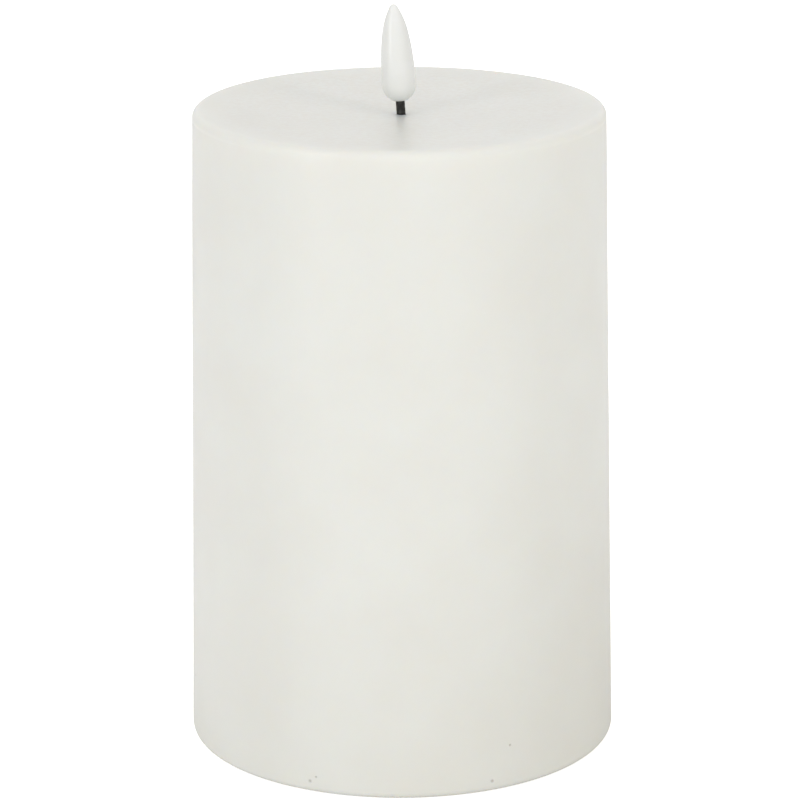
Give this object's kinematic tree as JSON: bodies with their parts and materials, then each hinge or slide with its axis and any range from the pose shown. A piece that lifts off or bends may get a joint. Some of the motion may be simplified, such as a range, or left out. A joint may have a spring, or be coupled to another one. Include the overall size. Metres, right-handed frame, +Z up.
{
  "type": "flameless led candle",
  "caption": "Smooth wax pillar with a slightly dished top, a bent black wick and a flame-shaped LED bulb; battery housing, door and slide switch in the underside.",
  "frame": {"origin": "centre of the wax foot on the surface it stands on", "axes": "+Z up along the pillar; the flame leans towards -X; the switch is towards -Y"},
  "size_m": [0.1, 0.1, 0.1739],
  "materials": {
    "wax": "satin, warm white, slightly translucent wax",
    "flame": "milky translucent, satin",
    "wick": "matt black",
    "led_lens": "clear yellowish resin",
    "tinned": "tinned",
    "white_plastic": "moulded",
    "hot_melt": "cloudy, amber tinted",
    "red_wire": "insulation",
    "black_wire": "insulation",
    "black_sleeve": "shrink sleeve",
    "ivory_plastic": "moulded, fine spark texture",
    "zinc_steel": "zinc plated",
    "cell_sleeve": "metal can with a plain printed sleeve",
    "nickel": "nickel plated",
    "board": "solder mask",
    "black_plastic": "moulded",
    "chip_black": "moulded package",
    "can_sleeve": "shrink sleeve"
  },
  "bodies": {
    "candle": {"wax_shell": "wax", "flame_bulb": "flame", "wick_sleeve": "wick", "flame_led": "led_lens", "led_leads": "tinned", "wick_socket": "white_plastic", "socket_glue_bead": "hot_melt", "led_wire_red": "red_wire", "led_wire_black": "black_wire", "lead_sleeves": "black_sleeve", "battery_wire_red": "red_wire", "battery_wire_black": "black_wire", "base_housing": "ivory_plastic", "housing_glue_bead": "hot_melt", "positive_contact": "nickel", "negative_contact": "nickel", "tower_spring": "nickel", "main_board": "board", "board_screws": "zinc_steel", "switch_frame": "nickel", "timer_chip": "chip_black", "oscillator_crystal": "nickel", "capacitor": "can_sleeve", "resistors": "chip_black"},
    "switch": {"switch_knob": "black_plastic"},
    "door": {"battery_door": "ivory_plastic", "door_screws": "zinc_steel", "bridge_contact": "nickel", "door_spring": "nickel"},
    "left_cell": {"cell_left": "cell_sleeve"},
    "right_cell": {"cell_right": "cell_sleeve"}
  },
  "joints": [
    {"name": "switch_slide", "type": "slide", "parent": "candle", "child": "switch", "axis": [1, 0, 0], "range_m": [0, 0.004]},
    {"name": "left_cell_slide", "type": "slide", "parent": "candle", "child": "left_cell", "axis": [0, 0, -1], "range_m": [0, 0.062]},
    {"name": "right_cell_slide", "type": "slide", "parent": "candle", "child": "right_cell", "axis": [0, 0, -1], "range_m": [0, 0.062]},
    {"name": "door_slide", "type": "slide", "parent": "candle", "child": "door", "axis": [0, 0, -1], "range_m": [0, 0.125]}
  ],
  "couplings": [
    {"joint": "right_cell_slide", "follows": "left_cell_slide", "ratio": 1},
    {"joint": "door_slide", "follows": "left_cell_slide", "ratio": 2}
  ]
}
